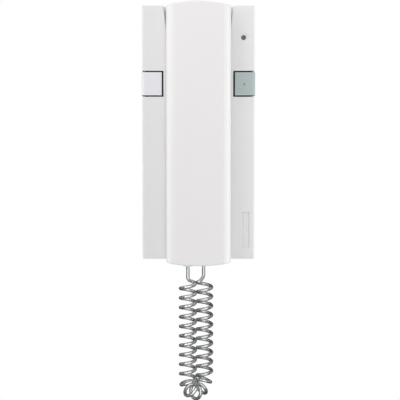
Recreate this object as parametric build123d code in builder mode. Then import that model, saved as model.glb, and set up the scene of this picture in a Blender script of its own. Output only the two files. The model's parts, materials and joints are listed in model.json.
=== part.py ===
from build123d import *
import os
from math import atan2, cos, hypot, pi, radians, sin, sqrt, tan

# The object hangs on a wall, which is the plane Y = 0, on its -Y side. X runs to the right as
# seen from the front and Z runs up. The origin is the middle of the base where it meets the
# wall. A depth is a distance out from the wall, and every length is in millimetres.

# Base
base_width = 90
base_height = 202.6
base_depth = 25
wing_drop = 1.2
wall = 2
fit = 0.25
rest_gap = 0.3
overrun = 4
trough_depth = 14.5
trough_gap = 0.35
cover_rear = 1
cover_edge_round = 1
trough_edge_round = 1
flare_length = 22.5
flare_spread = 3.2
flare_backing = 2.1

# Handset
handset_width = 51.1
handset_over_top = 1.7
handset_over_bottom = 3.7
handset_front = 46
handset_split = 24.6
handset_top_rise = 2.8
handset_bottom_rise = 2.3
handset_crown = 1.5
handset_edge_round = 7.2
handset_end_round = 0.9
shell_step = 1.1
grip_depth = 22
grip_to_ear = 49
grip_to_mouth = 28
grip_slope = 10
grip_slope_round = 4
grip_edge_round = 2.4
ear_from_top = 31
ear_diameter = 42
ear_depth = 9.6
ear_edge_round = 2.5
ear_gap = 0.5
ear_floor_gap = 0.6
ear_dish = 1
ear_dish_diameter = 34
mouth_from_bottom = 35
mouth_diameter = 28
mouth_depth = 10.5
mouth_edge_round = 2
lip_height = 1.5
lip_gap = 0.2

# Back plate and its fixings
plate_thickness = 2.4
wall_screw_inset_x = 15
wall_screw_inset_z = 11.3
wall_screw_hole = 4.4
entry_inset = 25
entry_rise = 29.3
entry_width = 24
entry_height = 18
entry_round = 2
tongue_inset = 15
tongue_width = 8
tongue_thickness = 1.5
tongue_reach = 1.25
tongue_foot = 4
standoff_diameter = 6
standoff_height = 2
lug_inset = 8
lug_width = 8
lug_length = 6
lug_height = 8.6
cover_screw_diameter = 3
cover_screw_head = 5.6
cover_screw_recess = 1
rib_width = 1.5
rib_length = 6
rib_inset = 41.3

# Circuit board and what stands on it
board_gap = 4
board_top_inset = 17.3
board_bottom_inset = 46.3
board_thickness = 1.6
board_screw_inset = 6
board_screw_below_top = 24
board_screw_rise = 4
board_screw_diameter = 2.5
board_screw_head = 5
board_screw_head_height = 1.6
terminal_rise = 24
terminal_width = 8
terminal_pitch = 6
terminal_count = 5
terminal_height = 10
terminal_bore = 3.4
terminal_bore_depth = 4
terminal_screw_diameter = 3.1
terminal_screw_height = 2.6
terminal_slot = 0.6
wire_mouth = 3
wire_mouth_depth = 3.2
chip_rise = 22
chip_width = 7
chip_height = 12
chip_thickness = 1.5
capacitor_rise = 34
capacitor_spacing = 9
capacitor_diameter = 6.3
capacitor_height = 5.4
socket_width = 10
socket_height = 5
socket_depth = 4
socket_rise = 7.5

# Call speaker
speaker_diameter = 36
speaker_rim = 1.1
speaker_basket = 20
speaker_basket_depth = 2.6
speaker_magnet = 18
speaker_magnet_depth = 1.4
speaker_skin = 0.8
gasket_thickness = 0.5
gasket_width = 2.5
collar_wall = 1.2
collar_height = 3.5
sound_slot_length = 20
sound_slot_width = 1.8
sound_slot_pitch = 4
sound_slot_count = 6

# Hook switch
hook_to_ear = 29.5
hook_travel = 3
hook_stem_width = 7
hook_stem_height = 5
hook_stem_round = 1.2
hook_stem_gap = 0.3
hook_tip_round = 0.8
hook_flange_diameter = 10
hook_flange_thickness = 1.2
hook_arm_width = 6
hook_arm_length = 12.5
hook_pin_diameter = 2.6
hook_pin_end = 3.4
hook_spring_diameter = 4.9
hook_spring_wire = 0.5
hook_spring_turns = 5
hook_spring_hole = 6.4
hook_switch_size = 6
hook_switch_height = 1.4
hook_button_diameter = 3

# Keys at both sides
key_from_top = 62.1
key_opening_height = 20.7
key_opening_margin = 1.1
key_opening_rear = 11
key_gap = 1
key_side_gap = 1.4
key_proud = 0.5
key_travel = 1.2
key_wall = 1.6
key_skirt_rear = 15
key_edge_round = 2.4
key_flange_reach = 0.8
key_flange_thickness = 1.6
key_flange_gap = 0.4
key_switch_size = 6
key_switch_height = 3.5
key_stem_diameter = 3.2
key_stem_gap = 0.2
key_stem_height = 5.4
key_post_diameter = 4.4

# Lamp and name field
lamp_offset = 1.2
lamp_from_top = 25.3
lamp_dish_diameter = 7.4
lamp_dish = 1
lens_diameter = 3.7
lens_flange = 5.2
lens_flange_thickness = 1
lens_boss_wall = 1.6
lens_boss_length = 8
led_diameter = 3
led_flange = 3.8
led_flange_height = 1
field_inset = 6.8
field_rise = 23.3
field_width = 6.7
field_height = 28.9
field_depth = 1
field_slope = 1.1
field_plate = 0.4
field_gap = 0.12

# Plugs, jacks and the curly cord
handset_cord_x = -8.5
handset_cord_depth = 28.6
base_cord_x = 4.5
plug_width = 7.65
plug_height = 5.9
plug_gap = 0.15
plug_length = 13
plug_stand_out = 1.9
latch_width = 3.2
latch_height = 0.9
latch_length = 8
jack_width = 11.2
jack_height = 9.6
jack_length = 11.1
jack_rib_width = 1.4
cord_diameter = 2.8
cord_clearance = 0.35
curl_radius = 5.85
cord_straight = 3.4
curls_start = 9.7
leg_length = 77.7
leg_curls = 10.12
bend_curls = 4.86
first_curl_angle = 18

# Receiver, microphone and their leads
receiver_height = 7.5
receiver_step = 1
receiver_gasket_thickness = 0.8
receiver_pad_thickness = 1
receiver_post_diameter = 4
receiver_post_count = 3
receiver_post_circle = 28
ear_hole = 2
ear_hole_pitch = 4.6
ear_hole_rings = 2
mouth_hole = 1.6
mouth_hole_circle = 3.6
mouth_hole_count = 6
microphone_diameter = 9.7
microphone_height = 6.5
boot_wall = 1.5
boot_height = 8
shell_screw_top_inset = 9
shell_screw_bottom_inset = 8
shell_screw_diameter = 2.9
shell_screw_head = 5.4
shell_screw_head_height = 1.2
shell_screw_length = 10
shell_boss_diameter = 7
lead_diameter = 1.2
lead_spacing = 1.8
base_lead_count = 4

# Worked out from the sizes above
half_width = base_width / 2
half_height = base_height / 2
handset_top = half_height + handset_over_top
handset_bottom = -half_height - handset_over_bottom
handset_length = handset_top - handset_bottom
handset_middle = (handset_top + handset_bottom) / 2
handset_shoulder = handset_length / 2 - max(handset_top_rise, handset_bottom_rise)
ear_z = handset_top - ear_from_top
mouth_z = handset_bottom + mouth_from_bottom
grip_top = ear_z - grip_to_ear
grip_bottom = mouth_z + grip_to_mouth
hook_z = ear_z - hook_to_ear
shell_screw_top = grip_top - shell_screw_top_inset
shell_screw_bottom = grip_bottom + shell_screw_bottom_inset
inner_width = handset_width - 2 * shell_step
trough_half = inner_width / 2 + trough_gap
wing_middle = (trough_half + half_width) / 2
trough_rear = trough_depth - wall
pad_depth = trough_depth + rest_gap
wing_angle = atan2(wing_drop, half_width - trough_half)
plate_width = base_width - 2 * (wall + fit)
plate_height = base_height - 2 * (wall + fit)
screw_spacing_x = base_width - 2 * wall_screw_inset_x
screw_spacing_z = base_height - 2 * wall_screw_inset_z
entry_x = -half_width + entry_inset
entry_z = -half_height + entry_rise
tongue_spacing = base_width - 2 * tongue_inset
lug_x = -half_width + lug_inset
rib_z = half_height - rib_inset
board_rear = plate_thickness + standoff_height
board_front = board_rear + board_thickness
board_width = base_width - 2 * (wall + board_gap)
board_top = half_height - board_top_inset
board_bottom = -half_height + board_bottom_inset
board_screw_x = board_width / 2 - board_screw_inset
board_screw_top = board_top - board_screw_below_top
board_screw_bottom = board_bottom + board_screw_rise
terminal_x = -wing_middle
terminal_z = board_bottom + terminal_rise
chip_z = board_bottom + chip_rise
capacitor_z = board_bottom + capacitor_rise
socket_z = board_bottom + socket_rise
speaker_z = (hook_z - hook_arm_length + socket_z + socket_height / 2) / 2
ear_floor = ear_depth - ear_floor_gap
mouth_floor = mouth_depth - ear_floor_gap
key_z = half_height - key_from_top
key_half = key_opening_height / 2 - key_gap
key_opening_x = trough_half + wall + key_opening_margin
key_inner = key_opening_x + key_side_gap
lamp_x = wing_middle + lamp_offset
lamp_z = half_height - lamp_from_top
field_x = half_width - field_inset
field_z = -half_height + field_rise
cord_start = plug_stand_out - handset_bottom
base_cord_depth = curl_radius + cord_diameter / 2 + cord_clearance
legs_top = cord_start + cord_straight + curls_start


def out(depth):
    """Plane parallel to the wall: x is X, y is Z, and extrusions grow out from the wall."""
    return Plane.XZ.offset(depth)


def above(height, x=0):
    """Plane seen from above: x is X, y is the depth, and extrusions grow downwards."""
    return Plane(origin=(x, 0, height), x_dir=(1, 0, 0), z_dir=(0, 0, -1))


def side_on(x):
    """Plane seen from the side: x is the depth, y is Z, and extrusions grow towards -X."""
    return Plane(origin=(x, 0, 0), x_dir=(0, -1, 0), z_dir=(-1, 0, 0))


def spindle(x, z):
    """Axis of a round piece that points out from the wall."""
    return Axis((x, 0, z), (0, -1, 0))


def wing_front(x):
    """Depth of the sloping front of a wing at a distance from the middle."""
    return base_depth - wing_drop * (half_width - abs(x)) / (half_width - trough_half)


def wing_plane(x, z):
    """Plane that lies on the front of the right wing at a place."""
    return Plane(
        origin=(x, -wing_front(x), z),
        x_dir=(cos(wing_angle), -sin(wing_angle), 0),
        z_dir=(-sin(wing_angle), -cos(wing_angle), 0),
    )


def wing_section(x, z):
    """Plane square to the right wing, seen from above: y grows out of its front."""
    return Plane(
        origin=(x, -wing_front(x), z),
        x_dir=(cos(wing_angle), -sin(wing_angle), 0),
        z_dir=(0, 0, -1),
    )


def block(x, z, width, height, rear, front, mode=Mode.ADD):
    """Add or cut a block, given by its middle, its width and height, and its two depths."""
    with BuildSketch(out(rear)) as outline:
        with Locations((x, z)):
            Rectangle(width, height)
    extrude(outline.sketch, amount=front - rear, mode=mode)


def disc(x, z, diameter, rear, front, mode=Mode.ADD):
    """Add or cut a round piece, given by its middle, its diameter and its two depths."""
    with BuildSketch(out(rear)) as outline:
        with Locations((x, z)):
            Circle(diameter / 2)
    extrude(outline.sketch, amount=front - rear, mode=mode)


def keep(piece, name):
    """Name a finished piece and write its file."""
    piece.part.label = name
    export_step(piece.part, f"parts/{name}.step")


os.makedirs("parts", exist_ok=True)

# Back plate: flat, with standoffs for the board, two tongues that the cover hooks over and a
# lug that the cover's screw bites into
board_screws_at = [
    (side * board_screw_x, z) for side in (-1, 1) for z in (board_screw_bottom, board_screw_top)
]
lug_z = -plate_height / 2 + lug_length / 2
lug_front = plate_thickness + lug_height
cover_screw_depth = (plate_thickness + lug_front) / 2
tongue_front = board_rear
with BuildPart() as back_plate:
    with BuildSketch(out(0)):
        Rectangle(plate_width, plate_height)
        with GridLocations(screw_spacing_x, screw_spacing_z, 2, 2):
            Circle(wall_screw_hole / 2, mode=Mode.SUBTRACT)
        with Locations((entry_x, entry_z)):
            RectangleRounded(entry_width, entry_height, entry_round, mode=Mode.SUBTRACT)
    extrude(amount=plate_thickness)
    for x, z in board_screws_at:
        disc(x, z, standoff_diameter, plate_thickness, board_rear)
    for side in (-1, 1):
        tongue_x = side * tongue_spacing / 2
        foot_z = plate_height / 2 - tongue_foot / 2
        block(tongue_x, foot_z, tongue_width, tongue_foot, plate_thickness, tongue_front)
        nose_z = plate_height / 2 + tongue_reach / 2
        nose_rear = tongue_front - tongue_thickness
        block(tongue_x, nose_z, tongue_width, tongue_reach, nose_rear, tongue_front)
    block(lug_x, lug_z, lug_width, lug_length, plate_thickness, lug_front)
    with BuildSketch(Plane.XY.offset(-plate_height / 2)):
        with Locations((lug_x, -cover_screw_depth)):
            Circle(cover_screw_diameter / 2 + fit / 2)
    extrude(amount=lug_length - wall / 2, mode=Mode.SUBTRACT)
    with BuildSketch(out(board_rear)):
        with Locations(*board_screws_at):
            Circle(board_screw_diameter / 2 + fit / 2)
    extrude(amount=wall / 2 - board_rear, mode=Mode.SUBTRACT)
keep(back_plate, "back_plate")

# Front cover: a shell with a wing at each side of the trough, a round recess for each end of
# the handset, and openings for the keys, the lens, the hook and the plug
trough_ear = ear_diameter + 2 * ear_gap
trough_mouth = mouth_diameter + 2 * ear_gap
sphere_radius = ((lamp_dish_diameter / 2) ** 2 + lamp_dish**2) / (2 * lamp_dish)
lamp_front = wing_front(lamp_x)
lens_boss_rear = lamp_front - wall - lens_boss_length
flare_half = trough_half + flare_spread
flare_start = half_height - flare_length
speaker_collar = speaker_diameter + 2 * fit
with BuildPart() as front_cover:
    with BuildSketch(above(half_height)) as cover_outline:
        with BuildLine():
            Polyline(
                (-half_width, cover_rear),
                (-half_width, base_depth),
                (-trough_half, base_depth - wing_drop),
                (-trough_half, trough_depth),
                (trough_half, trough_depth),
                (trough_half, base_depth - wing_drop),
                (half_width, base_depth),
                (half_width, cover_rear),
                close=True,
            )
        make_face()
        fillet(cover_outline.vertices().group_by(Axis.Y)[-1], cover_edge_round)
    extrude(amount=base_height)
    with BuildSketch(above(half_height - wall)):
        with BuildLine():
            Polyline(
                (-half_width + wall, 0),
                (-half_width + wall, base_depth - wall),
                (-trough_half - wall, base_depth - wing_drop - wall),
                (-trough_half - wall, trough_rear),
                (trough_half + wall, trough_rear),
                (trough_half + wall, base_depth - wing_drop - wall),
                (half_width - wall, base_depth - wall),
                (half_width - wall, 0),
                close=True,
            )
        make_face()
    extrude(amount=base_height - 2 * wall, mode=Mode.SUBTRACT)

    # Slits beside the top of the handset, where the trough widens
    for side in (-1, 1):
        backing_x = side * (trough_half + (flare_spread + flare_backing) / 2)
        backing_width = flare_spread + flare_backing
        backing_z = half_height - wall - flare_length / 2
        backing_front = base_depth - wing_drop - wall / 2
        block(backing_x, backing_z, backing_width, flare_length, trough_rear, backing_front)
        with BuildSketch(out(trough_depth)):
            with BuildLine():
                Polyline(
                    (side * trough_half, flare_start),
                    (side * flare_half, half_height),
                    (side * trough_half, half_height),
                    close=True,
                )
            make_face()
        extrude(amount=base_depth - trough_depth, mode=Mode.SUBTRACT)
    trough_edges = front_cover.edges().filter_by(
        lambda edge: trough_half - fit < abs(edge.center().X) < flare_half
        and -edge.center().Y > trough_depth + wall
        and edge.length > flare_length / 2
    )
    fillet(trough_edges, trough_edge_round)

    # Recesses for the ear and mouth ends
    for z, width, floor in ((ear_z, trough_ear, ear_floor), (mouth_z, trough_mouth, mouth_floor)):
        disc(0, z, width + 2 * wall, floor - wall + fit, trough_depth)
    for z, width, floor in ((ear_z, trough_ear, ear_floor), (mouth_z, trough_mouth, mouth_floor)):
        disc(0, z, width, floor, trough_depth + overrun, mode=Mode.SUBTRACT)

    # Collar and sound slots of the call speaker
    collar_rear = trough_rear - collar_height
    disc(0, speaker_z, speaker_collar + 2 * collar_wall, collar_rear, trough_rear)
    disc(0, speaker_z, speaker_collar, collar_rear, trough_rear, mode=Mode.SUBTRACT)
    with BuildSketch(out(trough_rear)):
        with Locations((0, speaker_z)):
            with GridLocations(0, sound_slot_pitch, 1, sound_slot_count):
                SlotOverall(sound_slot_length, sound_slot_width)
    extrude(amount=wall, mode=Mode.SUBTRACT)

    # Hole for the hook plunger
    with BuildSketch(out(trough_rear)):
        with Locations((0, hook_z)):
            RectangleRounded(
                hook_stem_width + 2 * hook_stem_gap,
                hook_stem_height + 2 * hook_stem_gap,
                hook_stem_round + hook_stem_gap,
            )
    extrude(amount=wall, mode=Mode.SUBTRACT)

    # Openings for the keys, which run out through the sides
    for side in (-1, 1):
        opening_width = half_width + overrun - key_opening_x
        opening_x = side * (key_opening_x + opening_width / 2)
        opening_front = base_depth + overrun
        block(
            opening_x,
            key_z,
            opening_width,
            key_opening_height,
            key_opening_rear,
            opening_front,
            mode=Mode.SUBTRACT,
        )

    # Dish, bore and boss of the lens
    lens_boss_diameter = lens_diameter + 2 * (fit + lens_boss_wall)
    disc(lamp_x, lamp_z, lens_boss_diameter, lens_boss_rear, lamp_front - wall / 2)
    disc(lamp_x, lamp_z, lens_diameter + fit, lens_boss_rear, lamp_front, mode=Mode.SUBTRACT)
    with Locations((lamp_x, lamp_dish - lamp_front - sphere_radius, lamp_z)):
        Sphere(sphere_radius, mode=Mode.SUBTRACT)

    # Sunk field for the name strip, with sloping long sides
    with BuildSketch(wing_section(field_x, field_z + field_height / 2)):
        with BuildLine():
            Polyline(
                (-field_width / 2, 0),
                (-field_width / 2 + field_slope, -field_depth),
                (field_width / 2 - field_slope, -field_depth),
                (field_width / 2, 0),
                close=True,
            )
        make_face()
    extrude(amount=field_height, mode=Mode.SUBTRACT)

    # Pockets for the tongues in the top wall, and the screw and plug openings in the bottom one
    for side in (-1, 1):
        block(
            side * tongue_spacing / 2,
            half_height - wall + tongue_reach / 2,
            tongue_width + 2 * fit,
            tongue_reach,
            tongue_front - tongue_thickness - fit,
            tongue_front + fit,
            mode=Mode.SUBTRACT,
        )
    with BuildSketch(above(-half_height + wall)):
        with Locations((lug_x, cover_screw_depth)):
            Circle(cover_screw_diameter / 2 + fit)
        with Locations((base_cord_x, base_cord_depth)):
            Rectangle(plug_width + 4 * plug_gap, plug_height + 4 * plug_gap)
    extrude(amount=wall, mode=Mode.SUBTRACT)
    with BuildSketch(above(-half_height + cover_screw_recess)):
        with Locations((lug_x, cover_screw_depth)):
            Circle(cover_screw_head / 2 + fit)
    extrude(amount=cover_screw_recess, mode=Mode.SUBTRACT)

    # Ribs that rest on the back plate
    for side in (-1, 1):
        for z in (-rib_z, 0, rib_z + rib_length * 2):
            rib_x = side * (half_width - wall - rib_width / 2)
            block(rib_x, z, rib_width, rib_length, plate_thickness + fit, trough_depth)
keep(front_cover, "front_cover")

# Cover screw, driven up through the bottom wall into the lug
screw_top = lug_length - 2 * wall
with BuildPart() as cover_screw:
    with BuildSketch(Plane.XY.offset(-half_height)):
        with Locations((lug_x, -cover_screw_depth)):
            Circle(cover_screw_head / 2)
    extrude(amount=cover_screw_recess)
    with BuildSketch(Plane.XY.offset(-half_height)):
        with Locations((lug_x, -cover_screw_depth)):
            Circle(cover_screw_diameter / 2)
    extrude(amount=wall + fit + screw_top)
    with BuildSketch(Plane.XY.offset(-half_height)):
        with Locations((lug_x, -cover_screw_depth)):
            Rectangle(cover_screw_head * 2 / 3, terminal_slot)
            Rectangle(terminal_slot, cover_screw_head * 2 / 3)
    extrude(amount=cover_screw_recess / 2, mode=Mode.SUBTRACT)
keep(cover_screw, "cover_screw")

# Circuit board on its standoffs
board_height = board_top - board_bottom
board_z = (board_top + board_bottom) / 2
with BuildPart() as circuit_board:
    block(0, board_z, board_width, board_height, board_rear, board_front)
    with BuildSketch(out(board_rear)):
        with Locations(*board_screws_at):
            Circle(board_screw_diameter / 2 + fit)
        with Locations((0, hook_z)):
            Circle(hook_spring_hole / 2)
    extrude(amount=board_thickness, mode=Mode.SUBTRACT)
keep(circuit_board, "circuit_board")

with BuildPart() as board_screws:
    for x, z in board_screws_at:
        disc(x, z, board_screw_head, board_front, board_front + board_screw_head_height)
        disc(x, z, board_screw_diameter, wall, board_front)
        slot_rear = board_front + board_screw_head_height / 2
        slot_front = board_front + board_screw_head_height
        block(x, z, board_screw_head * 2 / 3, terminal_slot, slot_rear, slot_front, mode=Mode.SUBTRACT)
        block(x, z, terminal_slot, board_screw_head * 2 / 3, slot_rear, slot_front, mode=Mode.SUBTRACT)
keep(board_screws, "board_screws")

# Terminal block with a screw and a wire mouth for each wire
terminal_front = board_front + terminal_height
terminals_at = [
    terminal_z + terminal_pitch * (number - (terminal_count - 1) / 2)
    for number in range(terminal_count)
]
with BuildPart() as terminal_block:
    terminal_length = terminal_pitch * terminal_count
    block(terminal_x, terminal_z, terminal_width, terminal_length, board_front, terminal_front)
    for z in terminals_at:
        bore_rear = terminal_front - terminal_bore_depth
        disc(terminal_x, z, terminal_bore, bore_rear, terminal_front, mode=Mode.SUBTRACT)
        mouth_x = terminal_x - terminal_width / 2 + wire_mouth_depth / 2
        mouth_rear = board_front + wire_mouth / 2
        block(
            mouth_x,
            z,
            wire_mouth_depth,
            wire_mouth,
            mouth_rear,
            mouth_rear + wire_mouth,
            mode=Mode.SUBTRACT,
        )
keep(terminal_block, "terminal_block")

with BuildPart() as terminal_screws:
    for z in terminals_at:
        screw_rear = terminal_front - terminal_bore_depth
        screw_front = screw_rear + terminal_screw_height
        disc(terminal_x, z, terminal_screw_diameter, screw_rear, screw_front)
        slot_rear = screw_front - terminal_slot
        block(
            terminal_x,
            z,
            terminal_screw_diameter,
            terminal_slot,
            slot_rear,
            screw_front,
            mode=Mode.SUBTRACT,
        )
keep(terminal_screws, "terminal_screws")

# Chip, capacitors and the socket of the cord's leads
with BuildPart() as control_chip:
    block(wing_middle, chip_z, chip_width, chip_height, board_front, board_front + chip_thickness)
    chamfer(control_chip.edges().filter_by(Axis.Y), chip_thickness / 4)
keep(control_chip, "control_chip")

with BuildPart() as capacitors:
    for number in (0, 1):
        z = capacitor_z + number * capacitor_spacing
        disc(wing_middle, z, capacitor_diameter, board_front, board_front + capacitor_height)
    fillet(capacitors.faces().sort_by(Axis.Y)[0].edges(), wall / 4)
keep(capacitors, "capacitors")

with BuildPart() as board_socket:
    block(base_cord_x, socket_z, socket_width, socket_height, board_front, board_front + socket_depth)
keep(board_socket, "board_socket")

# Call speaker: a frame with its magnet, a cone, a gasket in front and a foam pad behind
speaker_front = trough_rear - gasket_thickness
speaker_rim_rear = speaker_front - speaker_rim
basket_rear = speaker_rim_rear - speaker_basket_depth
magnet_rear = basket_rear - speaker_magnet_depth
cone_edge = speaker_diameter / 2 - gasket_width
with BuildPart() as speaker_frame:
    with BuildSketch(above(speaker_z)):
        with BuildLine():
            Polyline(
                (0, magnet_rear),
                (speaker_magnet / 2, magnet_rear),
                (speaker_magnet / 2, basket_rear),
                (speaker_basket / 2, basket_rear),
                (speaker_diameter / 2 - speaker_skin, speaker_rim_rear),
                (speaker_diameter / 2, speaker_rim_rear),
                (speaker_diameter / 2, speaker_front),
                (cone_edge, speaker_front),
                (cone_edge, speaker_rim_rear),
                (speaker_basket / 2 - speaker_skin, basket_rear + speaker_skin),
                (0, basket_rear + speaker_skin),
                close=True,
            )
        make_face()
    revolve(axis=spindle(0, speaker_z))
keep(speaker_frame, "speaker_frame")

with BuildPart() as speaker_cone:
    cone_root = basket_rear + speaker_skin
    with BuildSketch(above(speaker_z)):
        with BuildLine():
            Polyline(
                (0, cone_root),
                (speaker_magnet / 4, cone_root),
                (cone_edge - fit, speaker_front - speaker_skin),
                (cone_edge - fit, speaker_front - speaker_skin / 2),
                (speaker_magnet / 4, cone_root + speaker_skin / 2),
                (0, cone_root + speaker_skin),
                close=True,
            )
        make_face()
    revolve(axis=spindle(0, speaker_z))
keep(speaker_cone, "speaker_cone")

with BuildPart() as speaker_gasket:
    disc(0, speaker_z, speaker_diameter, speaker_front, trough_rear)
    disc(0, speaker_z, speaker_diameter - 2 * gasket_width, speaker_front, trough_rear, mode=Mode.SUBTRACT)
keep(speaker_gasket, "speaker_gasket")

with BuildPart() as speaker_pad:
    disc(0, speaker_z, speaker_magnet, board_front, magnet_rear)
    disc(0, speaker_z, speaker_magnet - 2 * gasket_width, board_front, magnet_rear, mode=Mode.SUBTRACT)
keep(speaker_pad, "speaker_pad")

# Hook plunger: the handset holds it in, against a spring that stands on the back plate
flange_front = trough_rear - hook_travel - rest_gap / 3
flange_rear = flange_front - hook_flange_thickness
arm_z = hook_z - hook_arm_length / 2
with BuildPart() as hook_plunger:
    with BuildSketch(out(flange_front)):
        with Locations((0, hook_z)):
            RectangleRounded(hook_stem_width, hook_stem_height, hook_stem_round)
    extrude(amount=trough_depth + rest_gap / 3 - flange_front)
    fillet(hook_plunger.faces().sort_by(Axis.Y)[0].edges(), hook_tip_round)
    disc(0, hook_z, hook_flange_diameter, flange_rear, flange_front)
    block(0, arm_z, hook_arm_width, hook_arm_length, flange_rear, flange_front)
    disc(0, hook_z, hook_pin_diameter, hook_pin_end, flange_rear)
keep(hook_plunger, "hook_plunger")

switch_z = hook_z - hook_arm_length + hook_switch_size / 2
button_front = flange_rear - rest_gap / 3
with BuildPart() as hook_switch:
    block(0, switch_z, hook_switch_size, hook_switch_size, board_front, board_front + hook_switch_height)
    disc(0, switch_z, hook_button_diameter, board_front, button_front)
keep(hook_switch, "hook_switch")


def gap_to_itself(points, wire):
    """Least gap between the turns of a wire, measured on evenly spaced points."""
    spacing = (points[1] - points[0]).length
    skip = int(pi * wire / spacing) + 1
    reach = 3 * wire
    least = reach
    for first, point in enumerate(points):
        for second in range(first + skip, len(points)):
            other = points[second]
            if abs(other.Z - point.Z) < reach and abs(other.Y - point.Y) < reach:
                least = min(least, (other - point).length)
    return least - wire


def biarc(start, start_tangent, end, end_tangent):
    """Two arcs that leave one point and reach another along the given directions."""
    chord = end - start
    turn = start_tangent + end_tangent
    spread = 2 * (1 - start_tangent.dot(end_tangent))
    reach = (sqrt(chord.dot(turn) ** 2 + spread * chord.dot(chord)) - chord.dot(turn)) / spread
    first = start + start_tangent * reach
    second = end - end_tangent * reach
    middle = (first + second) * 0.5
    TangentArc(start, middle, tangent=start_tangent)
    TangentArc(middle, end, tangent=(second - first).normalized())


def tangent_of(curve, share):
    """Direction of a curve at a share of its length."""
    step = 1e-5
    return (curve(min(share + step, 1)) - curve(max(share - step, 0))).normalized()


# Spring round the plunger's pin
spring_travel = flange_rear - plate_thickness - hook_spring_wire - fit
spring_radius = (hook_spring_diameter - hook_spring_wire) / 2


def spring_curve(share):
    """Middle of the spring's wire at a share of its height."""
    angle = 2 * pi * hook_spring_turns * share
    depth = plate_thickness + (hook_spring_wire + fit) / 2 + spring_travel * share
    return Vector(spring_radius * cos(angle), -depth, hook_z + spring_radius * sin(angle))


spring_shares = [number / (4 * hook_spring_turns) for number in range(4 * hook_spring_turns + 1)]
with BuildPart() as hook_spring:
    with BuildLine() as spring_route:
        for share, next_share in zip(spring_shares, spring_shares[1:]):
            biarc(
                spring_curve(share),
                tangent_of(spring_curve, share),
                spring_curve(next_share),
                tangent_of(spring_curve, next_share),
            )
    with BuildSketch(Plane(origin=spring_curve(0), z_dir=tangent_of(spring_curve, 0))):
        Circle(hook_spring_wire / 2)
    sweep(path=spring_route.wires()[0])
keep(hook_spring, "hook_spring")

# Keys: each is a cap that wraps round the edge of its wing and presses the stem of a switch
flange_top = base_depth - wing_drop - wall - key_flange_gap
flange_inner = trough_half + wall + key_flange_gap
flange_outer = half_width - wall - key_flange_gap
stem_front = board_front + key_switch_height + key_stem_height - key_travel
stem_rear = board_front + key_travel + key_stem_gap
for side, name in ((-1, "left_key"), (1, "right_key")):
    with BuildPart() as cap:
        with BuildSketch(above(key_z + key_half)) as cap_outline:
            with BuildLine():
                Polyline(
                    (side * key_inner, key_skirt_rear),
                    (side * key_inner, wing_front(key_inner)),
                    (side * (half_width + key_proud), base_depth + key_proud),
                    (side * (half_width + key_proud), key_opening_rear + key_travel + key_proud),
                    (side * (half_width + key_proud - key_wall), key_opening_rear + key_travel + key_proud),
                    (side * (half_width + key_proud - key_wall), key_skirt_rear),
                    close=True,
                )
            make_face()
            fillet(cap_outline.vertices().group_by(Axis.Y)[-1], key_edge_round)
        extrude(amount=2 * key_half)
        rims = cap.edges().filter_by(lambda edge: -edge.center().Y > wing_front(key_inner) - fit)
        fillet(rims.filter_by(Axis.Z, reverse=True), key_proud / 2)
        hollow_width = half_width + key_proud - 2 * key_wall - key_inner
        hollow_x = side * (key_inner + key_wall + hollow_width / 2)
        hollow_height = 2 * (key_half - key_wall)
        hollow_front = wing_front(key_inner) - key_wall
        block(hollow_x, key_z, hollow_width, hollow_height, 0, hollow_front, mode=Mode.SUBTRACT)
        flange_x = side * (flange_inner + flange_outer) / 2
        flange_height = key_opening_height + 2 * key_flange_reach
        flange_back = flange_top - key_flange_thickness
        block(flange_x, key_z, flange_outer - flange_inner, flange_height, flange_back, flange_top)
        window_width = flange_outer - key_wall - key_inner - key_wall
        window_x = side * (key_inner + key_wall + window_width / 2)
        block(window_x, key_z, window_width, hollow_height, flange_back, flange_top, mode=Mode.SUBTRACT)
        disc(side * wing_middle, key_z, key_post_diameter, stem_front, hollow_front + key_wall / 2)
    keep(cap, f"{name}_cap")

    with BuildPart() as stem:
        disc(side * wing_middle, key_z, key_stem_diameter, stem_rear, stem_front)
    keep(stem, f"{name}_stem")

    with BuildPart() as switch:
        switch_front = board_front + key_switch_height
        block(side * wing_middle, key_z, key_switch_size, key_switch_size, board_front, switch_front)
        bore = key_stem_diameter + 2 * key_stem_gap
        bore_rear = board_front + key_stem_gap
        disc(side * wing_middle, key_z, bore, bore_rear, switch_front, mode=Mode.SUBTRACT)
    keep(switch, f"{name}_switch")

# Lens: a dark rod that carries the light of the lamp on the board to the dish
lens_rear = lens_boss_rear - lens_flange_thickness
lens_front = lamp_front - lamp_dish - rest_gap / 3
with BuildPart() as led_light_guide:
    disc(lamp_x, lamp_z, lens_diameter, lens_rear, lens_front)
    fillet(led_light_guide.faces().sort_by(Axis.Y)[0].edges(), lens_diameter / 8)
    disc(lamp_x, lamp_z, lens_flange, lens_rear, lens_boss_rear)
keep(led_light_guide, "led_light_guide")

with BuildPart() as status_led:
    disc(lamp_x, lamp_z, led_diameter, board_front, lens_rear - rest_gap)
    fillet(status_led.faces().sort_by(Axis.Y)[0].edges(), led_diameter / 3)
    disc(lamp_x, lamp_z, led_flange, board_front, board_front + led_flange_height)
keep(status_led, "status_led")

# Bare strip in the name field
with BuildPart() as label_plate:
    with BuildSketch(wing_plane(field_x, field_z).offset(-field_depth)):
        Rectangle(field_width - 2 * (field_slope + field_gap), field_height - 2 * field_gap)
    extrude(amount=field_plate)
keep(label_plate, "label_plate")


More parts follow.
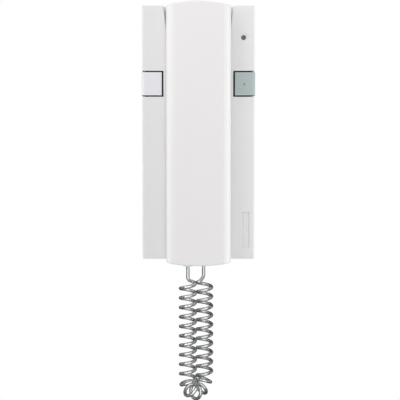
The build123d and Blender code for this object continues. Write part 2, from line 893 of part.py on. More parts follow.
def build_jack(x, depth, mouth_z, name):
    """Modular jack with its mouth facing down, open for the plug and the plug's latch."""
    with BuildPart() as jack:
        with BuildSketch(Plane.XY.offset(mouth_z)):
            with Locations((x, -depth)):
                Rectangle(jack_width, jack_height)
        extrude(amount=jack_length)
        with BuildSketch(Plane.XY.offset(mouth_z)):
            with Locations((x, -depth)):
                Rectangle(plug_width + 2 * plug_gap, plug_height + 2 * plug_gap)
            with Locations((x, -depth - plug_height / 2)):
                Rectangle(latch_width + 2 * plug_gap, 2 * (latch_height + plug_gap))
        extrude(amount=jack_length - wall / 2, mode=Mode.SUBTRACT)
    keep(jack, name)


def build_plug(x, depth, foot_z, name):
    """Plug with its latch, which the cord enters from below."""
    with BuildPart() as plug:
        with BuildSketch(Plane.XY.offset(foot_z)):
            with Locations((x, -depth)):
                Rectangle(plug_width, plug_height)
        extrude(amount=plug_length)
        chamfer(plug.edges().filter_by(Axis.Z), plug_gap)
        with BuildSketch(Plane.XY.offset(foot_z + plug_length - latch_length)):
            with Locations((x, -depth - plug_height / 2)):
                Rectangle(latch_width, 2 * latch_height)
        extrude(amount=latch_length - wall / 2)
    keep(plug, name)


plug_foot_base = -half_height - plug_stand_out
plug_foot_handset = handset_bottom - plug_stand_out
base_jack_foot = -plate_height / 2
handset_jack_foot = handset_bottom + 2 * wall + lip_gap
build_jack(base_cord_x, base_cord_depth, base_jack_foot, "base_jack")
build_jack(handset_cord_x, handset_cord_depth, handset_jack_foot, "handset_jack")
build_plug(base_cord_x, base_cord_depth, plug_foot_base, "base_plug")
build_plug(handset_cord_x, handset_cord_depth, plug_foot_handset, "handset_plug")


def bend_radii(points):
    """Radius at each inner point of a route, as large as its two runs allow."""
    radii = []
    for before, corner, after in zip(points, points[1:], points[2:]):
        arriving = corner - before
        leaving = after - corner
        half_turn = radians(arriving.get_angle(leaving)) / 2
        radii.append(0.45 * min(arriving.length, leaving.length) / tan(half_turn))
    return radii


def sweep_leads(route, count):
    """Add leads side by side along one route, given as points of X, depth and Z."""
    for number in range(count):
        spacing = lead_spacing * (number - (count - 1) / 2)
        points = [Vector(x + spacing, -depth, z) for x, depth, z in route]
        with BuildLine() as lead:
            FilletPolyline(*points, radius=bend_radii(points))
        wire = lead.wires()[0]
        with BuildSketch(Plane(origin=wire @ 0, z_dir=wire % 0)) as section:
            Circle(lead_diameter / 2)
        sweep(section.sketch, path=wire)


# Leads from the base jack to the board, in front of the plate and behind the mouth recess
lead_depth = board_front + lead_diameter
base_leads_foot = base_jack_foot + jack_length
socket_foot = socket_z - socket_height / 2
leads_rise = socket_foot - base_leads_foot
base_route = [
    (base_cord_x, lead_depth, base_leads_foot),
    (base_cord_x, lead_depth, base_leads_foot + leads_rise / 3),
    (base_cord_x + lead_diameter, lead_depth, socket_foot - leads_rise / 3),
    (base_cord_x + lead_diameter, lead_depth, socket_foot),
]
with BuildPart() as base_jack_leads:
    sweep_leads(base_route, base_lead_count)
keep(base_jack_leads, "base_jack_leads")


def handset_form(inset, rear):
    """Outer shape of the handset's front half, drawn in by an inset."""
    half = handset_width / 2 - inset
    with BuildPart() as form:
        with BuildSketch(above(handset_top - inset)) as section:
            with BuildLine():
                Line((-half, rear), (-half, handset_front - handset_crown - inset))
                ThreePointArc(
                    (-half, handset_front - handset_crown - inset),
                    (0, handset_front - inset),
                    (half, handset_front - handset_crown - inset),
                )
                Line((half, handset_front - handset_crown - inset), (half, rear))
                Line((half, rear), (-half, rear))
            make_face()
            corners = section.vertices().group_by(Axis.Y)[-1]
            fillet(corners, handset_edge_round - inset)
        extrude(amount=handset_length - 2 * inset)
        add(handset_ends(half, inset, rear, handset_front, overrun), mode=Mode.INTERSECT)
    return form.part


def handset_ends(half, inset, rear, front, spare=0):
    """Block with the handset's outline as seen from the front, with arched ends that run on
    sideways by a spare width."""
    top = handset_top - inset
    bottom = handset_bottom + inset
    rise_share = ((half + spare) / half) ** 2
    upper_shoulder = top - handset_top_rise * rise_share
    lower_shoulder = bottom + handset_bottom_rise * rise_share
    half += spare
    with BuildPart() as ends:
        with BuildSketch(out(rear)):
            with BuildLine():
                Line((-half, lower_shoulder), (-half, upper_shoulder))
                ThreePointArc((-half, upper_shoulder), (0, top), (half, upper_shoulder))
                Line((half, upper_shoulder), (half, lower_shoulder))
                ThreePointArc((half, lower_shoulder), (0, bottom), (-half, lower_shoulder))
            make_face()
        extrude(amount=front - rear)
    return ends.part


# Outer shell of the handset, with bosses for its screws and posts that press on the receiver
receiver_rear = ear_depth + wall + fit + receiver_gasket_thickness
receiver_front = receiver_rear + receiver_height
jack_front = handset_cord_depth + jack_height / 2
outer_hollow = handset_form(wall, handset_split - overrun)
outer_solid = handset_form(0, handset_split)
with BuildPart() as handset_outer_shell:
    add(outer_solid)
    end_edges = handset_outer_shell.edges().filter_by(
        lambda edge: abs(edge.center().Z - handset_middle) > handset_shoulder - fit
        and -edge.center().Y > handset_split + fit
    )
    fillet(end_edges, handset_end_round)
    add(outer_hollow, mode=Mode.SUBTRACT)
    for z in (shell_screw_bottom, shell_screw_top):
        disc(0, z, shell_boss_diameter, handset_split, handset_front - wall / 2)
        pilot = shell_screw_diameter + fit / 2
        disc(0, z, pilot, handset_split, handset_split + shell_screw_length, mode=Mode.SUBTRACT)
    with BuildSketch(out(receiver_front + receiver_pad_thickness)):
        with Locations((0, ear_z)):
            with PolarLocations(receiver_post_circle / 2, receiver_post_count, start_angle=90):
                Circle(receiver_post_diameter / 2)
    extrude(amount=handset_front - wall / 2 - receiver_front - receiver_pad_thickness)
    jack_middle = handset_jack_foot + jack_length / 2
    block(handset_cord_x, jack_middle, wall, jack_length / 2, jack_front + fit, handset_front - wall)
    with BuildSketch(above(handset_jack_foot)):
        with Locations((handset_cord_x, handset_split)):
            notch_depth = handset_cord_depth + plug_height / 2 + 2 * plug_gap - handset_split
            Rectangle(plug_width + 4 * plug_gap, 2 * notch_depth)
    extrude(amount=2 * wall + overrun, mode=Mode.SUBTRACT)
keep(handset_outer_shell, "handset_outer_shell")


def grip_outline(inset):
    """Side view of the handset's rear half, drawn in by an inset, as points of depth and Z."""
    rise = grip_depth - pad_depth
    shift = inset * (hypot(grip_slope, rise) - grip_slope) / rise
    return [
        (pad_depth + inset, handset_bottom + shell_step + inset),
        (pad_depth + inset, grip_bottom - grip_slope - shift),
        (grip_depth + inset, grip_bottom - shift),
        (grip_depth + inset, grip_top + shift),
        (pad_depth + inset, grip_top + grip_slope + shift),
        (pad_depth + inset, handset_top - shell_step - inset),
    ]


def rear_form(inset, front):
    """Rear half of the handset as a solid: end pads with the hollow of the grip between."""
    half = inner_width / 2 - inset
    top = handset_top - shell_step - inset
    bottom = handset_bottom + shell_step + inset
    with BuildPart() as form:
        with BuildSketch(side_on(half)) as profile:
            with BuildLine():
                Polyline((front, top), (front, bottom), *grip_outline(inset), (front, top))
            make_face()
            slopes = profile.vertices().filter_by(
                lambda vertex: bottom + fit < vertex.Y < top - fit and vertex.X < front - fit
            )
            fillet(slopes, grip_slope_round)
        extrude(amount=2 * half)
        add(handset_ends(half, shell_step + inset, pad_depth, front, overrun), mode=Mode.INTERSECT)
    return form.part


# Inner shell of the handset: ear and mouth bosses, the grip, and a lip that centres the outer shell
inner_solid = rear_form(0, handset_split)
inner_hollow = rear_form(wall, handset_split + overrun)
lip_inset = wall + lip_gap
lip_front = handset_split + lip_height
lip_half = handset_width / 2 - lip_inset
lip_solid = handset_ends(lip_half, lip_inset, handset_split, lip_front)
ear_bore = ear_diameter - 2 * wall
mouth_bore = mouth_diameter - 2 * wall
boot_diameter = microphone_diameter + 2 * boot_wall
head_rear = grip_depth
head_front = grip_depth + shell_screw_head_height
dish_radius = ((ear_dish_diameter / 2) ** 2 + ear_dish**2) / (2 * ear_dish)
with BuildPart() as handset_inner_shell:
    add(inner_solid)
    rear_edges = handset_inner_shell.edges().filter_by(
        lambda edge: -edge.center().Y < grip_depth + fit
        and abs(edge.center().X) > inner_width / 2 - fit
    )
    fillet(rear_edges.filter_by(Axis.Y, reverse=True), grip_edge_round)
    disc(0, ear_z, ear_diameter, ear_depth, pad_depth + wall)
    disc(0, mouth_z, mouth_diameter, mouth_depth, pad_depth + wall)
    ear_rim = handset_inner_shell.faces().sort_by(Axis.Y)[-1].edges()
    fillet(ear_rim, ear_edge_round)
    mouth_rim = handset_inner_shell.edges().filter_by(
        lambda edge: abs(-edge.center().Y - mouth_depth) < fit and edge.center().Z < 0
    )
    fillet(mouth_rim, mouth_edge_round)
    add(lip_solid)
    add(inner_hollow, mode=Mode.SUBTRACT)
    lip_bore_width = inner_width - 2 * wall
    lip_bore_length = handset_length - 4 * wall
    block(0, handset_middle, lip_bore_width, lip_bore_length, handset_split, lip_front, mode=Mode.SUBTRACT)
    disc(0, ear_z, ear_bore, ear_depth + wall + fit, pad_depth + 2 * wall, mode=Mode.SUBTRACT)
    disc(0, mouth_z, mouth_bore, mouth_depth + wall, pad_depth + 2 * wall, mode=Mode.SUBTRACT)
    with Locations((0, dish_radius - ear_depth - ear_dish, ear_z)):
        Sphere(dish_radius, mode=Mode.SUBTRACT)
    for ring in range(ear_hole_rings + 1):
        with BuildSketch(out(0)):
            with Locations((0, ear_z)):
                with PolarLocations(ring * ear_hole_pitch, max(6 * ring, 1)):
                    Circle(ear_hole / 2)
        extrude(amount=pad_depth, mode=Mode.SUBTRACT)
    with BuildSketch(out(0)):
        with Locations((0, mouth_z)):
            with PolarLocations(mouth_hole_circle, mouth_hole_count):
                Circle(mouth_hole / 2)
    extrude(amount=pad_depth, mode=Mode.SUBTRACT)

    # Ring that holds the microphone's boot, ribs under the jack and holes for the two screws
    boot_rear = mouth_depth + wall
    disc(0, mouth_z, boot_diameter + 2 * (fit + collar_wall), boot_rear, boot_rear + boot_height / 2)
    disc(0, mouth_z, boot_diameter + 2 * fit, boot_rear, boot_rear + boot_height / 2, mode=Mode.SUBTRACT)
    for side in (-1, 1):
        rib_x = handset_cord_x + side * (jack_width - jack_rib_width) / 2
        rib_rear = pad_depth + wall / 2
        rib_front = handset_cord_depth - jack_height / 2 - fit
        block(rib_x, jack_middle, jack_rib_width, jack_length - wall, rib_rear, rib_front)
    for z in (shell_screw_bottom, shell_screw_top):
        disc(0, z, shell_screw_head + 2 * fit, head_rear, head_front, mode=Mode.SUBTRACT)
        disc(0, z, shell_screw_diameter + 2 * fit, head_front, handset_split, mode=Mode.SUBTRACT)
    with BuildSketch(above(handset_jack_foot)):
        with Locations((handset_cord_x, handset_split + lip_height / 2)):
            Rectangle(plug_width + 4 * plug_gap, lip_height)
    extrude(amount=2 * wall, mode=Mode.SUBTRACT)
keep(handset_inner_shell, "handset_inner_shell")

with BuildPart() as handset_screws:
    for z in (shell_screw_bottom, shell_screw_top):
        disc(0, z, shell_screw_head, head_rear, head_front)
        disc(0, z, shell_screw_diameter, head_front, handset_split + shell_screw_length - wall)
        slot_front = head_rear + shell_screw_head_height / 2
        block(0, z, shell_screw_head * 2 / 3, terminal_slot, head_rear, slot_front, mode=Mode.SUBTRACT)
        block(0, z, terminal_slot, shell_screw_head * 2 / 3, head_rear, slot_front, mode=Mode.SUBTRACT)
keep(handset_screws, "handset_screws")

# Receiver between its gasket and the pad that the posts press on
capsule_diameter = ear_bore - 2 * fit
gasket_rear = ear_depth + wall + fit
with BuildPart() as receiver_gasket:
    disc(0, ear_z, capsule_diameter, gasket_rear, receiver_rear)
    disc(0, ear_z, capsule_diameter - 4 * gasket_width, gasket_rear, receiver_rear, mode=Mode.SUBTRACT)
keep(receiver_gasket, "receiver_gasket")

with BuildPart() as receiver_capsule:
    disc(0, ear_z, capsule_diameter, receiver_rear, receiver_front - receiver_step)
    disc(0, ear_z, capsule_diameter - 2 * gasket_width, receiver_rear, receiver_front)
keep(receiver_capsule, "receiver_capsule")

pad_outer = receiver_post_circle + receiver_post_diameter
pad_inner = receiver_post_circle - receiver_post_diameter
with BuildPart() as receiver_pad:
    disc(0, ear_z, pad_outer, receiver_front, receiver_front + receiver_pad_thickness)
    disc(0, ear_z, pad_inner, receiver_front, receiver_front + receiver_pad_thickness, mode=Mode.SUBTRACT)
keep(receiver_pad, "receiver_pad")

# Microphone in its rubber boot
microphone_rear = boot_rear + boot_height - microphone_height
microphone_front = boot_rear + boot_height
with BuildPart() as microphone_boot:
    disc(0, mouth_z, boot_diameter, boot_rear, microphone_front)
    disc(0, mouth_z, microphone_diameter, microphone_rear, microphone_front, mode=Mode.SUBTRACT)
    disc(0, mouth_z, microphone_diameter / 3, boot_rear, microphone_rear, mode=Mode.SUBTRACT)
keep(microphone_boot, "microphone_boot")

with BuildPart() as microphone_capsule:
    disc(0, mouth_z, microphone_diameter, microphone_rear, microphone_front)
keep(microphone_capsule, "microphone_capsule")

# Leads inside the handset, from the jack to the receiver and to the microphone
handset_leads_foot = handset_jack_foot + jack_length
receiver_leads_x = handset_cord_x - lead_spacing
lane_x = -shell_boss_diameter - 2 * lead_spacing
lane_depth = handset_cord_depth + wall
receiver_route = [
    (receiver_leads_x, handset_cord_depth, handset_leads_foot),
    (receiver_leads_x, handset_cord_depth, handset_leads_foot + 5 * wall),
    (lane_x - wall, lane_depth + wall, grip_bottom),
    (lane_x + wall, lane_depth, (grip_top + grip_bottom) / 2),
    (lane_x, lane_depth + wall, grip_top + grip_slope),
    (0, lane_depth, ear_z - lead_spacing),
    (0, receiver_front, ear_z - lead_spacing),
]
with BuildPart() as receiver_leads:
    sweep_leads(receiver_route, 2)
keep(receiver_leads, "receiver_leads")

microphone_leads_x = handset_cord_x + lead_spacing
microphone_route = [
    (microphone_leads_x, handset_cord_depth, handset_leads_foot),
    (microphone_leads_x, handset_cord_depth, handset_leads_foot + 2 * wall),
    (0, microphone_front + 3 * wall, mouth_z),
    (0, microphone_front, mouth_z),
]
with BuildPart() as microphone_leads:
    sweep_leads(microphone_route, 2)
keep(microphone_leads, "microphone_leads")

# Curly cord: it leaves each plug straight down, winds round the line of that tail, and the two
# wound legs join in a half-round bend below. A leg's curls and the bend's curls are counted.
handset_leg = Vector(handset_cord_x, -handset_cord_depth, 0)
base_leg = Vector(base_cord_x, -base_cord_depth, 0)
leg_spread = base_leg - handset_leg
bend_radius = leg_spread.length / 2
across = leg_spread.normalized()
downwards = Vector(0, 0, -1)
bend_length = pi * bend_radius
line_length = 2 * leg_length + bend_length
bend_z = -legs_top - leg_length
bend_middle = (handset_leg + base_leg) * 0.5 + Vector(0, 0, bend_z)
total_curls = 2 * leg_curls + bend_curls


def cord_line(travel):
    """Point and direction of the line that the cord winds round, and the way to its inside."""
    if travel < leg_length:
        return handset_leg + downwards * (legs_top + travel), downwards, across
    if travel < leg_length + bend_length:
        angle = (travel - leg_length) / bend_radius
        outwards = downwards * sin(angle) - across * cos(angle)
        return bend_middle + outwards * bend_radius, across * sin(angle) + downwards * cos(angle), -outwards
    rise = travel - leg_length - bend_length
    return base_leg + Vector(0, 0, bend_z + rise), -downwards, -across


def curls_at(travel):
    """Number of curls wound by the time that the line has gone so far."""
    on_first_leg = min(travel, leg_length) / leg_length
    on_bend = min(max(travel - leg_length, 0), bend_length) / bend_length
    on_second_leg = max(travel - leg_length - bend_length, 0) / leg_length
    return leg_curls * (on_first_leg + on_second_leg) + bend_curls * on_bend


def cord_curve(share):
    """Middle of the cord at a share of the line that it winds round."""
    travel = line_length * share
    centre, ahead, inwards = cord_line(travel)
    angle = radians(first_curl_angle) + 2 * pi * curls_at(travel)
    sideways = ahead.cross(inwards)
    return centre + (inwards * cos(angle) + sideways * sin(angle)) * curl_radius


quarter_turns = 4 * round(total_curls)
stations = [number / quarter_turns for number in range(quarter_turns + 1)]
handset_cord_foot = handset_leg + Vector(0, 0, plug_foot_handset)
base_cord_foot = base_leg + Vector(0, 0, plug_foot_base)
handset_tail = handset_leg + downwards * (cord_start + cord_straight)
base_tail = base_leg + downwards * (cord_start + cord_straight)
with BuildPart() as curly_cord:
    with BuildLine() as cord_route:
        Line(handset_cord_foot, handset_tail)
        biarc(handset_tail, downwards, cord_curve(0), tangent_of(cord_curve, 0))
        for share, next_share in zip(stations, stations[1:]):
            biarc(
                cord_curve(share),
                tangent_of(cord_curve, share),
                cord_curve(next_share),
                tangent_of(cord_curve, next_share),
            )
        biarc(cord_curve(1), tangent_of(cord_curve, 1), base_tail, -downwards)
        Line(base_tail, base_cord_foot)
    with BuildSketch(Plane(origin=handset_cord_foot, z_dir=downwards)):
        Circle(cord_diameter / 2)
    sweep(path=cord_route.wires()[0])
keep(curly_cord, "curly_cord")

cord_wire = cord_route.wires()[0]
cord_radii = [edge.radius for edge in cord_route.edges().filter_by(GeomType.CIRCLE)]
cord_points = [cord_wire @ (number / 3000) for number in range(3001)]
tube_volume = pi * cord_diameter**2 / 4 * cord_wire.length
print(f"Cord length {cord_wire.length:.1f}, radii {min(cord_radii):.2f} to {max(cord_radii):.2f}")
print(f"Cord volume {curly_cord.part.volume:.1f}, section times length {tube_volume:.1f}")
print(f"Cord's least gap to itself {gap_to_itself(cord_points, cord_diameter):.2f}")
spring_points = [spring_curve(number / 400) for number in range(401)]
print(f"Spring's least gap to itself {gap_to_itself(spring_points, hook_spring_wire):.2f}")
print(f"Cord's lowest point {bend_z - bend_radius - curl_radius - cord_diameter / 2:.1f}")
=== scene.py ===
import json
from math import cos, pi, radians, sin

import bmesh
import bpy
from mathutils import Matrix, Vector


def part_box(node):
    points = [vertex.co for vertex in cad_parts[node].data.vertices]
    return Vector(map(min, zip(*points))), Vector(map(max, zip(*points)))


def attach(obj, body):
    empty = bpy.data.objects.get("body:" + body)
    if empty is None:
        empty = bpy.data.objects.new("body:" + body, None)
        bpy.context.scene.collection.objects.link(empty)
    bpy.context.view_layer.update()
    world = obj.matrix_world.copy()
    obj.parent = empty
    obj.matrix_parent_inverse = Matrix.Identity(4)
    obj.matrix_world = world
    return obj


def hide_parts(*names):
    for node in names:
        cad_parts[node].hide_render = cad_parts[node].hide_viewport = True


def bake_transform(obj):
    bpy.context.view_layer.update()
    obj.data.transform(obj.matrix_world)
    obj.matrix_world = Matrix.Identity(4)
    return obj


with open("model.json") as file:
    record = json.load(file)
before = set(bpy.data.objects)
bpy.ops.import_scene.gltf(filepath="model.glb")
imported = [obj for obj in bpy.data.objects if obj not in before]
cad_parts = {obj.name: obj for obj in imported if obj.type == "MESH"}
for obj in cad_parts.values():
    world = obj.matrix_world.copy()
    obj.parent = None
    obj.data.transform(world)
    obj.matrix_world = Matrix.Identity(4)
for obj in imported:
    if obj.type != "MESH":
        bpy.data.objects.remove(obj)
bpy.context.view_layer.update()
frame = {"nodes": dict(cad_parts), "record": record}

nodes = frame["nodes"]
scene = bpy.context.scene

# Back plate: the flat plate that is screwed to the wall. It is moulded in the same ABS as the
# cover, but its mould was left with a rough spark-eroded face, so it is duller and warmer.


def linear(code):
    """Linear colour of an sRGB hex value, with full opacity."""
    shares = [int(code[place:place + 2], 16) / 255 for place in (0, 2, 4)]
    return [c / 12.92 if c <= 0.04045 else ((c + 0.055) / 1.055) ** 2.4 for c in shares] + [1]


def add_node(tree, kind, settings=None, links=None):
    """Add a node, set its fields and sockets by name, and link sockets to its inputs by name or
    place."""
    node = tree.nodes.new(kind)
    for name, value in (settings or {}).items():
        if hasattr(node, name):
            setattr(node, name, value)
        else:
            node.inputs[name].default_value = value
    for name, socket in (links or {}).items():
        tree.links.new(socket, node.inputs[name])
    return node


def empty_material(name):
    """Material with a bare node tree, and its output node."""
    material = bpy.data.materials.new(name)
    material.use_nodes = True
    material.node_tree.nodes.clear()
    return material, material.node_tree, add_node(material.node_tree, "ShaderNodeOutputMaterial")


# The Mix node gives its colour sockets the names of its number sockets, so they go by place.
mix_first = 6
mix_second = 7
mix_result = 2


def moulded(name, light, dark, roughness, grain, relief, drift=0.03, **shader):
    """Moulded plastic: cloudy drift between two near shades, and the fine grain of its mould.
    The grain's width, its relief and the drift's width are in metres. The real grain is about a
    tenth of a millimetre wide, too fine to show, so it is drawn several times as coarse."""
    glossier = 0.04
    duller = 0.06
    material, tree, output = empty_material(name)
    place = add_node(tree, "ShaderNodeTexCoord").outputs["Object"]
    cloud = add_node(tree, "ShaderNodeTexNoise", {"Scale": 1 / drift, "Detail": 3}, {"Vector": place})
    shade = add_node(tree, "ShaderNodeMix", {"data_type": "RGBA"}, {"Factor": cloud.outputs["Fac"]})
    shade.inputs[mix_first].default_value = linear(dark)
    shade.inputs[mix_second].default_value = linear(light)
    pits = add_node(tree, "ShaderNodeTexNoise", {"Scale": 1 / grain, "Detail": 2}, {"Vector": place})
    sheen = add_node(
        tree,
        "ShaderNodeMapRange",
        {"To Min": roughness - glossier, "To Max": roughness + duller},
        {"Value": pits.outputs["Fac"]},
    )
    bump = add_node(
        tree, "ShaderNodeBump", {"Strength": 0.6, "Distance": relief}, {"Height": pits.outputs["Fac"]}
    )
    surface = add_node(
        tree,
        "ShaderNodeBsdfPrincipled",
        {"IOR": 1.5, **shader},
        {
            "Base Color": shade.outputs[mix_result],
            "Roughness": sheen.outputs["Result"],
            "Normal": bump.outputs["Normal"],
        },
    )
    tree.links.new(surface.outputs["BSDF"], output.inputs["Surface"])
    return material


def paint(material, *names):
    """Give CAD nodes a material."""
    for name in names:
        nodes[name].data.materials.clear()
        nodes[name].data.materials.append(material)


plate_plastic = moulded("abs_spark_eroded", "E6E5E2", "E0DFDB", 0.55, 0.0009, 0.00003)
paint(plate_plastic, "back_plate")

# Board: glass-fibre laminate under glossy green lacquer, with its screws, chip, capacitors,
# terminals and socket. It shows only through the cable entry, so its parts keep their plain
# turned and cut shapes.
lacquer = moulded("green_lacquered_laminate", "1D6B42", "17593A", 0.3, 0.0012, 0.00002, drift=0.004)
black_case = moulded("black_epoxy_case", "1B1B1D", "151517", 0.45, 0.0006, 0.00002)
terminal_plastic = moulded("green_polyamide", "4CA37A", "41956C", 0.4, 0.0008, 0.00002)
lead_vinyl = moulded("grey_vinyl_lead", "9C9DA0", "8F9093", 0.35, 0.0006, 0.00001)


def metal(name, light, dark, roughness, streak, finer=(1, 1, 1)):
    """Bare or plated metal, with cloudy streaks of a width in metres. They are finer along one
    axis where the part was drawn or turned round it."""
    glossier = 0.06
    duller = 0.1
    material, tree, output = empty_material(name)
    place = add_node(tree, "ShaderNodeTexCoord").outputs["Object"]
    turned = add_node(tree, "ShaderNodeMapping", {"Scale": finer}, {"Vector": place})
    lines = add_node(
        tree, "ShaderNodeTexNoise", {"Scale": 1 / streak, "Detail": 3}, {"Vector": turned.outputs["Vector"]}
    )
    shade = add_node(tree, "ShaderNodeMix", {"data_type": "RGBA"}, {"Factor": lines.outputs["Fac"]})
    shade.inputs[mix_first].default_value = linear(dark)
    shade.inputs[mix_second].default_value = linear(light)
    sheen = add_node(
        tree,
        "ShaderNodeMapRange",
        {"To Min": roughness - glossier, "To Max": roughness + duller},
        {"Value": lines.outputs["Fac"]},
    )
    surface = add_node(
        tree,
        "ShaderNodeBsdfPrincipled",
        {"Metallic": 1},
        {"Base Color": shade.outputs[mix_result], "Roughness": sheen.outputs["Result"]},
    )
    tree.links.new(surface.outputs["BSDF"], output.inputs["Surface"])
    return material


zinc = metal("bright_zinc_plate", "C9CBCF", "A9ACB2", 0.32, 0.0008)
can_aluminium = metal("drawn_aluminium", "D5D6D8", "BFC1C4", 0.28, 0.0006, (1, 8, 1))
paint(lacquer, "circuit_board")
paint(black_case, "control_chip", "board_socket")
paint(terminal_plastic, "terminal_block")
paint(lead_vinyl, "base_jack_leads")
paint(zinc, "board_screws", "terminal_screws")
paint(can_aluminium, "capacitors")

# Call speaker: a drawn frame with a dark and slightly glossy polyester cone. Black foam rubber,
# quite dull, holds it between the board and the cover.
cone_film = moulded("dark_polyester_film", "2A2B2E", "222326", 0.25, 0.002, 0.00002)
foam = moulded("black_foam_rubber", "232324", "18181A", 0.9, 0.0005, 0.0001)
paint(can_aluminium, "speaker_frame")
paint(cone_film, "speaker_cone")
paint(foam, "speaker_gasket", "speaker_pad")

# Switches: three small black switches on the board. The hook's plunger, which has a zinc-plated
# spring, and the stems of the keys work them. They are small acetal mouldings, waxy and slightly
# glossy.
acetal = moulded("grey_acetal", "A9ABAD", "A0A2A4", 0.35, 0.0007, 0.00001)
paint(black_case, "hook_switch", "left_key_switch", "right_key_switch")
paint(zinc, "hook_spring")
paint(acetal, "hook_plunger", "left_key_stem", "right_key_stem")

# Front cover: one moulding in white ABS with a satin face, held by one screw at the bottom. Its
# edges are as sharp as the mould leaves them, so each carries a thin highlight.


def body_of(node):
    """Name of the body that a CAD node belongs to."""
    return next(body for body, names in frame["record"]["behaviour"]["bodies"].items() if node in names)


def dress(node, material, edge):
    """Replace a CAD node by a merged copy of it, with its sharp edges broken by a small bevel."""
    weld = 0.000002
    level_angle = radians(0.5)
    sharp_angle = radians(30)
    mesh = nodes[node].data.copy()
    piece = bmesh.new()
    piece.from_mesh(mesh)
    bmesh.ops.remove_doubles(piece, verts=piece.verts, dist=weld)
    bmesh.ops.dissolve_limit(
        piece, angle_limit=level_angle, verts=piece.verts, edges=piece.edges, use_dissolve_boundaries=False
    )
    for face in piece.faces:
        face.smooth = True
    for line in piece.edges:
        line.smooth = line.is_manifold and line.calc_face_angle(0) < sharp_angle
    piece.to_mesh(mesh)
    piece.free()
    mesh.materials.clear()
    mesh.materials.append(material)
    skin = bpy.data.objects.new(f"{node}_moulding", mesh)
    scene.collection.objects.link(skin)
    if edge:
        bevel = skin.modifiers.new("broken_edges", "BEVEL")
        bevel.width = edge
        bevel.segments = 2
        bevel.limit_method = "ANGLE"
        bevel.angle_limit = sharp_angle
        bevel.use_clamp_overlap = True
    shading = skin.modifiers.new("flat_faces", "WEIGHTED_NORMAL")
    shading.mode = "FACE_AREA"
    shading.weight = 90
    shading.keep_sharp = True
    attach(skin, body_of(node))
    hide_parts(node)
    return skin


cover_edge = 0.00025
cover_plastic = moulded("white_satin_abs", "E8E8E9", "E5E5E6", 0.38, 0.0007, 0.000012)
dress("front_cover", cover_plastic, cover_edge)
paint(zinc, "cover_screw")

# Keys: the left one is moulded in a cool white and the right one in a light blue-grey, both with
# a finer, glossier face than the cover. The ends and what lies behind the face, apart from the
# outer side, are painted a dull black: painted shade that stands for the shadow in the gaps.
key_edge = 0.0002
gap_shade_front = -0.0215
facing = 0.5
left_key_plastic = moulded("cool_white_satin_abs", "E9E9EE", "E6E6EC", 0.3, 0.0006, 0.00001)
right_key_plastic = moulded("blue_grey_satin_abs", "B3C0BF", "ACB9B8", 0.26, 0.0006, 0.00001)
# Dull black material for the key gaps: painted shade, not a real part of the key.
key_gap_shade_plastic = moulded(
    "painted_gap_shade_black_abs", "26292B", "202325", 0.7, 0.0006, 0.00002, **{"Specular IOR Level": 0.2}
)
left_key = dress("left_key_cap", left_key_plastic, key_edge)
right_key = dress("right_key_cap", right_key_plastic, key_edge)
# Painted shade: the ends and the flanks behind the face, apart from the outer side, take the dull black
# material, so the gaps round the keys look shaded.
for key, side in ((left_key, -1), (right_key, 1)):
    key.data.materials.append(key_gap_shade_plastic)
    for face in key.data.polygons:
        is_end = abs(face.normal.z) > facing
        is_outer_side = face.normal.x * side >= facing
        if is_end or (face.center.y > gap_shade_front and not is_outer_side):
            face.material_index = 1

# Mark of the right key: a printed dot, taller than it is wide, in grey ink. It stands a hair
# proud of the key's face, near the middle.
mark_width = 0.0012
mark_height = 0.0023
mark_relief = 0.00003
mark_right_of_middle = 0.0004
mark_below_middle = 0.0003
frontwards = -0.9
key_low, key_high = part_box("right_key_cap")
key_middle = (key_low + key_high) / 2
key_face = max(
    (face for face in right_key.data.polygons if face.normal.y < frontwards), key=lambda face: face.area
)
mark_mesh = bpy.data.meshes.new("right_key_mark")
dot = bmesh.new()
bmesh.ops.create_circle(dot, cap_ends=True, segments=32, radius=0.5)
bmesh.ops.scale(dot, verts=dot.verts, vec=(mark_width, mark_height, 1))
bmesh.ops.rotate(dot, verts=dot.verts, matrix=Matrix.Rotation(radians(90), 3, "X"))
bmesh.ops.translate(
    dot,
    verts=dot.verts,
    vec=(key_middle.x + mark_right_of_middle, 0, key_middle.z - mark_below_middle),
)
for corner in dot.verts:
    across_face = (corner.co - key_face.center) * Vector((1, 0, 1))
    corner.co.y = key_face.center.y - across_face.dot(key_face.normal) / key_face.normal.y - mark_relief
bmesh.ops.recalc_face_normals(dot, faces=dot.faces)
dot.to_mesh(mark_mesh)
dot.free()
key_ink = moulded("grey_pad_printed_ink", "7E8A8C", "788486", 0.4, 0.0008, 0.000002)
mark_mesh.materials.append(key_ink)
mark = bpy.data.objects.new("right_key_mark", mark_mesh)
scene.collection.objects.link(mark)
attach(mark, body_of("right_key_cap"))

# Lamp and lens: a small red lamp on the board, and before it a smoked polycarbonate rod. The
# rod's polished face sits in the dish of the cover and shows as a dark grey spot.
smoke = moulded("smoked_polycarbonate", "6C6C6C", "666666", 0.12, 0.002, 0.000005)
lamp_red = moulded("red_tinted_epoxy", "B53A30", "A93228", 0.15, 0.002, 0.000005)
dress("led_light_guide", smoke, 0)
paint(lamp_red, "status_led")

# Name strip: a bare card behind a thin clear film, sunk into its field. The film gives it a
# smoother and slightly glossier face than the cover has.
strip_edge = 0.00005
strip_card = moulded("white_card_under_film", "E8E8E8", "E6E6E6", 0.3, 0.0015, 0.000004)
dress("label_plate", strip_card, strip_edge)

# Handset: two shells of ABS, a little warmer and glossier than the cover. Two screws hold them
# together from behind, and the split shows as a fine step all round the side. The capsules and
# their wires are inside.
shell_edge = 0.0002
shell_plastic = moulded("warm_white_satin_abs", "ECEAEA", "EAE8E8", 0.34, 0.0007, 0.000012)
dress("handset_outer_shell", shell_plastic, shell_edge)
dress("handset_inner_shell", shell_plastic, shell_edge)
paint(zinc, "handset_screws")
paint(can_aluminium, "receiver_capsule", "microphone_capsule")
paint(foam, "receiver_gasket", "receiver_pad", "microphone_boot")
paint(lead_vinyl, "receiver_leads", "microphone_leads")

